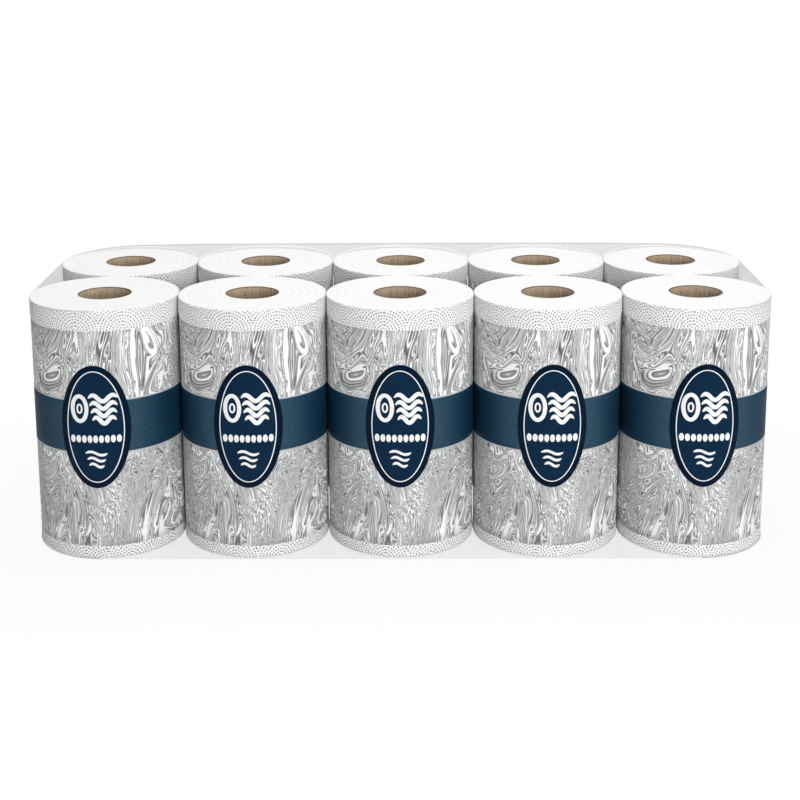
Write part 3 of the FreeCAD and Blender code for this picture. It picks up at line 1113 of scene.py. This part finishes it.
# %% Film finish: haze on the end faces
CAP_HAZE = 0.4
CAP_TRACE = 0.04
FRONT_SHARE = 0.4
over_back = nodes.math("SUBTRACT", nodes.smooth(y, PITCH / 2, PITCH * 0.9), below, clamp=True)
leaning_y = nodes.math("MULTIPLY_ADD", over_back, STAND_OFF, folded_y)
from_edge = nodes.vector("LENGTH", nodes.join(folded_x, leaning_y))
from_edge = nodes.math("MULTIPLY_ADD", below, LOWER_ROUND, from_edge)
free_span = nodes.smooth(from_edge, PAPER_RADIUS - 0.5 * MM, PAPER_RADIUS + 1.0 * MM)
cap_gap = nodes.highest(nodes.times(beside, below), behind, nodes.times(before, FRONT_SHARE))
gap_haze = nodes.math("MULTIPLY_ADD", cap_gap, CAP_HAZE, CAP_TRACE)
cap_haze = nodes.times(free_span, on_cap, gap_haze)
print("film: the nodes so far", len(nodes.tree.nodes))

# %% [markdown]
# The wall touches each roll along one line and spans the gaps between. Its haze is full at
# the two ends of the pack and weaker behind, strongest near the upper rim where the film is
# pulled over, and nil in front, where the print shows clear through it.

# %% Film finish: haze on the wall
WALL_HAZE = 0.42
WALL_LESS_BEHIND = -0.22
RIM_SHARE = 0.85
RIM_START = 60 * MM
RIM_FULL = 12 * MM
END_MARGIN = 6 * MM
wall_span = nodes.smooth(from_axis, PAPER_RADIUS + 0.9 * MM, PAPER_RADIUS + 2.4 * MM)
over_paper = nodes.smooth(z, TOP - 0.5 * MM, TOP + 0.5 * MM)
end_reach = nodes.smooth(y, PITCH / 2 + END_MARGIN, PITCH / 2 - END_MARGIN)
wall_span = nodes.highest(wall_span, over_paper, nodes.times(beside, end_reach))
near_rim = nodes.smooth(z, film_high.z - RIM_START, film_high.z - RIM_FULL)
near_rim = nodes.math("MULTIPLY_ADD", near_rim, RIM_SHARE, 1 - RIM_SHARE)
toward_back = nodes.smooth(y, -PITCH / 2, -PITCH / 6)
wall_strength = nodes.math("MULTIPLY_ADD", behind, WALL_LESS_BEHIND, WALL_HAZE)
wall_haze = nodes.times(near_rim, toward_back, wall_strength, wall_span, off_cap)
print("film: the nodes so far", len(nodes.tree.nodes))

# %% [markdown]
# Where the film turns from an end face to the wall it is creased and shows as a thin line,
# and seen at a grazing angle any film looks a trace milky. All parts add up to the alpha. A
# slow noise in the bump keeps its reflections from being quite straight.

# %% Film finish: folds, edges and the sum
FOLD_HAZE = 0.35
EDGE_HAZE = 0.03
LEAST_ALPHA = 0.002
on_fold = nodes.times(nodes.smooth(steep, 0.1, 0.4), nodes.smooth(steep, 0.98, 0.8))
fold_haze = nodes.times(on_fold, nodes.highest(beside, behind), wall_span)
facing = nodes.add("ShaderNodeLayerWeight")
facing.inputs["Blend"].default_value = 0.1
edge_haze = nodes.times(facing.outputs["Facing"], EDGE_HAZE)
haze = nodes.math("ADD", nodes.math("ADD", cap_haze, wall_haze), edge_haze)
haze = nodes.math("MULTIPLY_ADD", fold_haze, FOLD_HAZE, haze)
nodes.feed(shader.inputs["Alpha"], nodes.math("ADD", haze, LEAST_ALPHA, clamp=True))
slack = nodes.noise(nodes.object_place(), 60.0, detail=3.0, roughness=0.6)
add_bump(nodes, shader, slack, 0.4 * MM, 0.5)
finish_with([film], clear, nodes)

# %% [markdown]
# The stage is a white floor under a white sky. More light would make them white, but it
# would wash out the pack too. So plain white is added for the camera alone, more of it the
# further the floor is from the pack, and a soft shadow stays at the pack's foot. The floor
# lies a hair below the film, because two surfaces in one plane would show through each other.

# %% White floor
FLOOR_HALF = 6.0
FLOOR_DROP = 0.3 * MM
FLOOR_SIGNS = ((-1, -1), (1, -1), (1, 1), (-1, 1))
FLOOR_COLOR = (0.8, 0.8, 0.8, 1)
WHITE_AT_PACK = 0.92
WHITE_REACH = 0.2


def seen_directly(nodes):
    """1 for rays from the camera, off a gloss or through glass, and 0 for rays of light."""
    path = nodes.add("ShaderNodeLightPath").outputs
    return nodes.highest(
        path["Is Camera Ray"], path["Is Glossy Ray"], path["Is Transmission Ray"]
    )


floor_points = [(a * FLOOR_HALF, b * FLOOR_HALF, -FLOOR_DROP) for a, b in FLOOR_SIGNS]
floor_mesh = bpy.data.meshes.new("floor")
floor_mesh.from_pydata(floor_points, [], [(0, 1, 2, 3)])
floor = bpy.data.objects.new("floor", floor_mesh)
bpy.context.scene.collection.objects.link(floor)
floor_paint = bpy.data.materials.new("white floor")
floor_paint.use_nodes = True
nodes = Nodes(floor_paint.node_tree)
nodes.tree.nodes.clear()
diffuse = nodes.add("ShaderNodeBsdfDiffuse")
diffuse.inputs["Color"].default_value = FLOOR_COLOR
glow = nodes.add("ShaderNodeEmission")
blend = nodes.add("ShaderNodeMixShader")
x, y, _ = nodes.split(nodes.object_place())
past_end = nodes.highest(nodes.math("SUBTRACT", nodes.math("ABSOLUTE", x), film_high.x), 0.0)
past_row = nodes.highest(nodes.math("SUBTRACT", nodes.math("ABSOLUTE", y), film_high.y), 0.0)
from_pack = nodes.vector("LENGTH", nodes.join(past_end, past_row))
far = nodes.smooth(from_pack, 0.0, WHITE_REACH)
whiteness = nodes.math("MULTIPLY_ADD", far, 1 - WHITE_AT_PACK, WHITE_AT_PACK)
nodes.feed(blend.inputs[0], nodes.times(seen_directly(nodes), whiteness))
nodes.feed(blend.inputs[1], diffuse.outputs[0])
nodes.feed(blend.inputs[2], glow.outputs[0])
output = nodes.add("ShaderNodeOutputMaterial")
nodes.feed(output.inputs["Surface"], blend.outputs[0])
floor_mesh.materials.append(floor_paint)
print("floor:", 2 * FLOOR_HALF, "m wide, white from", WHITE_REACH, "m off the pack")

# %% [markdown]
# The sky is white to the camera and a dim even light to everything else. That fills the
# shadows between the rolls without hiding them.

# %% White room
ROOM_LIGHT = 0.17
world = bpy.data.worlds.new("white room")
bpy.context.scene.world = world
world.use_nodes = True
nodes = Nodes(world.node_tree)
nodes.tree.nodes.clear()
sky = nodes.add("ShaderNodeBackground")
sky.inputs["Color"].default_value = (1, 1, 1, 1)
strength = nodes.math("MULTIPLY_ADD", seen_directly(nodes), 1 - ROOM_LIGHT, ROOM_LIGHT)
nodes.feed(sky.inputs["Strength"], strength)
output = nodes.add("ShaderNodeOutputWorld")
nodes.feed(output.inputs["Surface"], sky.outputs[0])
print("room light:", ROOM_LIGHT)

# %% [markdown]
# Three soft lamps: a wide one in front, a little to the right, one overhead for the white
# ends of the rolls, and a weaker one behind for whoever walks round the pack. They don't
# show in reflections, so the film mirrors only the white room and no bright rectangle.

# %% Lamps
LAMP_TARGET = (0.0, 0.0, 0.1)
LAMPS = (
    ("front_lamp", (0.6, -2.2, 0.7), (0.9, 0.9), 34),
    ("back_lamp", (-0.3, 2.3, 0.32), (1.2, 0.5), 22),
    ("top_lamp", (0.1, 0.1, 1.5), (1.4, 0.9), 16.3),
)


def softbox(name, place, size, power):
    """A rectangular lamp that faces the pack: its own -Z turns to the line to the target."""
    lamp = bpy.data.lights.new(name, "AREA")
    lamp.shape = "RECTANGLE"
    lamp.size, lamp.size_y = size
    lamp.energy = power
    holder = bpy.data.objects.new(name, lamp)
    holder.location = place
    direction = Vector(LAMP_TARGET) - Vector(place)
    holder.rotation_euler = direction.to_track_quat("-Z", "Y").to_euler()
    holder.visible_glossy = False
    bpy.context.scene.collection.objects.link(holder)


for lamp_row in LAMPS:
    softbox(*lamp_row)
print("lamps:", [f"{name} {power} W" for name, place, size, power in LAMPS])

# %% [markdown]
# The camera stands in front and above. It could be placed by eye, but ten round ends in two
# rows are good marks: its place, its turn and its focal length were solved so that they fall
# where the picture has them. A small shift frames the pack without tilting the camera.

# %% Camera
CAMERA_PLACE = (0.0055, -1.1605, 0.4588)
CAMERA_YAW = -0.0048
CAMERA_PITCH = 0.2042
CAMERA_ROLL = -0.0039
CAMERA_SHIFT = -0.2
FOCAL_PIXELS = 1512.5
PICTURE_PIXELS = 800
SENSOR = 36.0
camera_data = bpy.data.cameras.new("camera")
camera_data.sensor_width = SENSOR
camera_data.lens = FOCAL_PIXELS / PICTURE_PIXELS * SENSOR
camera_data.shift_y = CAMERA_SHIFT
camera = bpy.data.objects.new("camera", camera_data)
bpy.context.scene.collection.objects.link(camera)
ahead = Vector((
    math.sin(CAMERA_YAW) * math.cos(CAMERA_PITCH),
    math.cos(CAMERA_YAW) * math.cos(CAMERA_PITCH),
    -math.sin(CAMERA_PITCH),
))
level = Vector((math.cos(CAMERA_YAW), -math.sin(CAMERA_YAW), 0))
above = level.cross(ahead)
right = level * math.cos(CAMERA_ROLL) + above * math.sin(CAMERA_ROLL)
up = above * math.cos(CAMERA_ROLL) - level * math.sin(CAMERA_ROLL)
turned = Matrix((right, up, -ahead)).transposed().to_4x4()
camera.matrix_world = Matrix.Translation(CAMERA_PLACE) @ turned
bpy.context.scene.camera = camera
bpy.context.scene.view_settings.view_transform = "Standard"
print("camera:", round(camera_data.lens, 1), "mm lens")

# %% [markdown]
# They should differ only by the little that soft paper and film stand proud.
